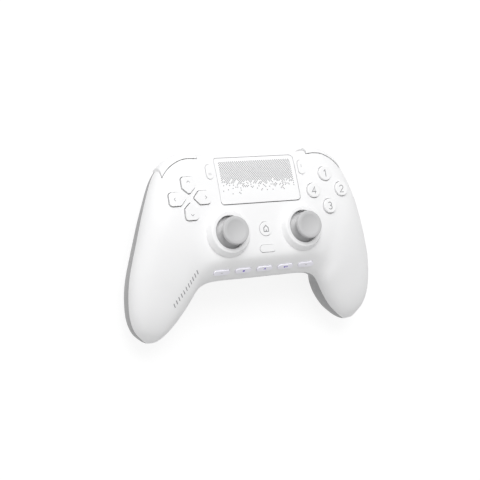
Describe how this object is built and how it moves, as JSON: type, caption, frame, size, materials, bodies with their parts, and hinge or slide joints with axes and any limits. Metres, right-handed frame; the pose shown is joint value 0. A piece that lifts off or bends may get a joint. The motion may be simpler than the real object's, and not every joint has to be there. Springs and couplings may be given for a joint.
{
  "type": "gamepad controller",
  "caption": "Handheld game controller with grips, thumb sticks, direction pad, face buttons, touch plate, bumpers and triggers.",
  "frame": {"origin": "middle of the underside of the bounding box, below the middle of the controller", "axes": "+X to the player's right, +Y away from the player, +Z out of the face"},
  "size_m": [0.1618, 0.1054, 0.0617],
  "materials": {
    "white_shell": "fine satin moulded plastic",
    "grey_shell": "fine matte moulded plastic",
    "white_key": "smooth plastic",
    "white_shoulder": "smooth plastic",
    "touch_surface": "matte, printed with small squares",
    "collar": "satin",
    "cap_rubber": "soft matte",
    "stem_plastic": "matte",
    "black_plastic": "matte",
    "frame_plastic": "matte",
    "mat_rubber": "soft",
    "board": "solder mask",
    "battery_wrap": "film wrap",
    "steel": "plain",
    "weight_metal": "sintered"
  },
  "bodies": {
    "body": {"front_shell": "white_shell", "rear_shell": "grey_shell", "left_stick_ring": "collar", "right_stick_ring": "collar", "left_stick_housing": "black_plastic", "right_stick_housing": "black_plastic", "headset_jack": "black_plastic", "dome_switches": "black_plastic", "key_switches": "black_plastic", "bumper_switches": "black_plastic", "mid_frame": "frame_plastic", "left_button_mat": "mat_rubber", "right_button_mat": "mat_rubber", "main_board": "board", "key_board": "board", "battery": "battery_wrap", "usb_port": "steel", "left_rumble_motor": "steel", "right_rumble_motor": "steel", "left_trigger_pin": "steel", "right_trigger_pin": "steel", "left_trigger_spring": "steel", "right_trigger_spring": "steel", "shell_screws": "steel"},
    "left_stick_yoke": {"left_stick_yoke": "black_plastic"},
    "left_stick_lever": {"left_stick_lever": "black_plastic"},
    "left_stick": {"left_stick_stem": "stem_plastic", "left_stick_cap": "cap_rubber"},
    "right_stick_yoke": {"right_stick_yoke": "black_plastic"},
    "right_stick_lever": {"right_stick_lever": "black_plastic"},
    "right_stick": {"right_stick_stem": "stem_plastic", "right_stick_cap": "cap_rubber"},
    "dpad_pivot": {"dpad_pivot": "black_plastic"},
    "dpad": {"dpad": "white_key"},
    "face_button_top": {"face_button_top": "white_key"},
    "face_button_right": {"face_button_right": "white_key"},
    "face_button_bottom": {"face_button_bottom": "white_key"},
    "face_button_left": {"face_button_left": "white_key"},
    "home_button": {"home_button": "white_key"},
    "profile_button": {"profile_button": "white_key"},
    "menu_button_left": {"menu_button_left": "white_key"},
    "menu_button_right": {"menu_button_right": "white_key"},
    "front_key_1": {"front_key_1": "white_key"},
    "front_key_2": {"front_key_2": "white_key"},
    "front_key_3": {"front_key_3": "white_key"},
    "front_key_4": {"front_key_4": "white_key"},
    "front_key_5": {"front_key_5": "white_key"},
    "touchpad": {"touchpad_plate": "touch_surface", "touchpad_board": "board"},
    "left_bumper": {"left_bumper": "white_shoulder"},
    "left_trigger": {"left_trigger": "white_shoulder"},
    "left_rumble_weight": {"left_rumble_weight": "weight_metal"},
    "right_bumper": {"right_bumper": "white_shoulder"},
    "right_trigger": {"right_trigger": "white_shoulder"},
    "right_rumble_weight": {"right_rumble_weight": "weight_metal"}
  },
  "joints": [
    {"name": "left_stick_up_down", "type": "hinge", "parent": "body", "child": "left_stick_yoke", "pos_m": [-0.0244, 0.00314, 0.03982], "axis": [1, 0, 0], "range_deg": [-15, 15], "stiffness_Nm_per_rad": 0.06},
    {"name": "left_stick_left_right", "type": "hinge", "parent": "left_stick_yoke", "child": "left_stick_lever", "pos_m": [-0.0244, 0.00314, 0.03982], "axis": [0, 1, 0], "range_deg": [-15, 15], "stiffness_Nm_per_rad": 0.06},
    {"name": "left_stick_press", "type": "slide", "parent": "left_stick_lever", "child": "left_stick", "axis": [0, 0, -1], "range_m": [0, 0.0005], "stiffness_N_per_m": 6000},
    {"name": "right_stick_up_down", "type": "hinge", "parent": "body", "child": "right_stick_yoke", "pos_m": [0.0244, 0.00314, 0.03982], "axis": [1, 0, 0], "range_deg": [-15, 15], "stiffness_Nm_per_rad": 0.06},
    {"name": "right_stick_left_right", "type": "hinge", "parent": "right_stick_yoke", "child": "right_stick_lever", "pos_m": [0.0244, 0.00314, 0.03982], "axis": [0, 1, 0], "range_deg": [-15, 15], "stiffness_Nm_per_rad": 0.06},
    {"name": "right_stick_press", "type": "slide", "parent": "right_stick_lever", "child": "right_stick", "axis": [0, 0, -1], "range_m": [0, 0.0005], "stiffness_N_per_m": 6000},
    {"name": "dpad_up_down", "type": "hinge", "parent": "body", "child": "dpad_pivot", "pos_m": [-0.04591, 0.02443, 0.04723], "axis": [1, 0, 0], "range_deg": [-3.5, 3.5], "stiffness_Nm_per_rad": 0.25, "deforming": ["left_button_mat"]},
    {"name": "dpad_left_right", "type": "hinge", "parent": "dpad_pivot", "child": "dpad", "pos_m": [-0.04591, 0.02443, 0.04723], "axis": [0, 1, 0], "range_deg": [-3.5, 3.5], "stiffness_Nm_per_rad": 0.25, "deforming": ["left_button_mat"]},
    {"name": "face_button_top_press", "type": "slide", "parent": "body", "child": "face_button_top", "axis": [-0.0408, -0.022, -0.9989], "range_m": [0, 0.0011], "stiffness_N_per_m": 900, "deforming": ["right_button_mat"]},
    {"name": "face_button_right_press", "type": "slide", "parent": "body", "child": "face_button_right", "axis": [-0.0408, -0.022, -0.9989], "range_m": [0, 0.0011], "stiffness_N_per_m": 900, "deforming": ["right_button_mat"]},
    {"name": "face_button_bottom_press", "type": "slide", "parent": "body", "child": "face_button_bottom", "axis": [-0.0408, -0.022, -0.9989], "range_m": [0, 0.0011], "stiffness_N_per_m": 900, "deforming": ["right_button_mat"]},
    {"name": "face_button_left_press", "type": "slide", "parent": "body", "child": "face_button_left", "axis": [-0.0408, -0.022, -0.9989], "range_m": [0, 0.0011], "stiffness_N_per_m": 900, "deforming": ["right_button_mat"]},
    {"name": "home_button_press", "type": "slide", "parent": "body", "child": "home_button", "axis": [0, 0, -1], "range_m": [0, 0.0005], "stiffness_N_per_m": 3000},
    {"name": "profile_button_press", "type": "slide", "parent": "body", "child": "profile_button", "axis": [0, 0, -1], "range_m": [0, 0.0005], "stiffness_N_per_m": 3000},
    {"name": "menu_button_left_press", "type": "slide", "parent": "body", "child": "menu_button_left", "axis": [0, 0, -1], "range_m": [0, 0.0005], "stiffness_N_per_m": 3000},
    {"name": "menu_button_right_press", "type": "slide", "parent": "body", "child": "menu_button_right", "axis": [0, 0, -1], "range_m": [0, 0.0005], "stiffness_N_per_m": 3000},
    {"name": "front_key_1_press", "type": "slide", "parent": "body", "child": "front_key_1", "axis": [0, 0.7993, -0.6009], "range_m": [0, 0.0005], "stiffness_N_per_m": 3000},
    {"name": "front_key_2_press", "type": "slide", "parent": "body", "child": "front_key_2", "axis": [0, 0.7993, -0.6009], "range_m": [0, 0.0005], "stiffness_N_per_m": 3000},
    {"name": "front_key_3_press", "type": "slide", "parent": "body", "child": "front_key_3", "axis": [0, 0.7993, -0.6009], "range_m": [0, 0.0005], "stiffness_N_per_m": 3000},
    {"name": "front_key_4_press", "type": "slide", "parent": "body", "child": "front_key_4", "axis": [0, 0.7993, -0.6009], "range_m": [0, 0.0005], "stiffness_N_per_m": 3000},
    {"name": "front_key_5_press", "type": "slide", "parent": "body", "child": "front_key_5", "axis": [0, 0.7993, -0.6009], "range_m": [0, 0.0005], "stiffness_N_per_m": 3000},
    {"name": "touchpad_click", "type": "hinge", "parent": "body", "child": "touchpad", "pos_m": [0, 0.04743, 0.04778], "axis": [1, 0, 0], "range_deg": [0, 1.2], "stiffness_Nm_per_rad": 2},
    {"name": "left_bumper_press", "type": "hinge", "parent": "body", "child": "left_bumper", "pos_m": [-0.037, 0.04544, 0.04932], "axis": [-1, 0, 0], "range_deg": [0, 2.5], "stiffness_Nm_per_rad": 0.32},
    {"name": "left_trigger_pull", "type": "hinge", "parent": "body", "child": "left_trigger", "pos_m": [-0.0345, 0.04043, 0.03282], "axis": [-1, 0, 0], "range_deg": [0, 16], "stiffness_Nm_per_rad": 0.05, "springref_deg": -17.19},
    {"name": "left_rumble_spin", "type": "hinge", "parent": "body", "child": "left_rumble_weight", "pos_m": [-0.0548, -0.01557, 0.02282], "axis": [1, 0, 0], "continuous": true},
    {"name": "right_bumper_press", "type": "hinge", "parent": "body", "child": "right_bumper", "pos_m": [0.037, 0.04544, 0.04932], "axis": [-1, 0, 0], "range_deg": [0, 2.5], "stiffness_Nm_per_rad": 0.32},
    {"name": "right_trigger_pull", "type": "hinge", "parent": "body", "child": "right_trigger", "pos_m": [0.0345, 0.04043, 0.03282], "axis": [-1, 0, 0], "range_deg": [0, 16], "stiffness_Nm_per_rad": 0.05, "springref_deg": -17.19},
    {"name": "right_rumble_spin", "type": "hinge", "parent": "body", "child": "right_rumble_weight", "pos_m": [0.0548, -0.01557, 0.02282], "axis": [1, 0, 0], "continuous": true}
  ]
}
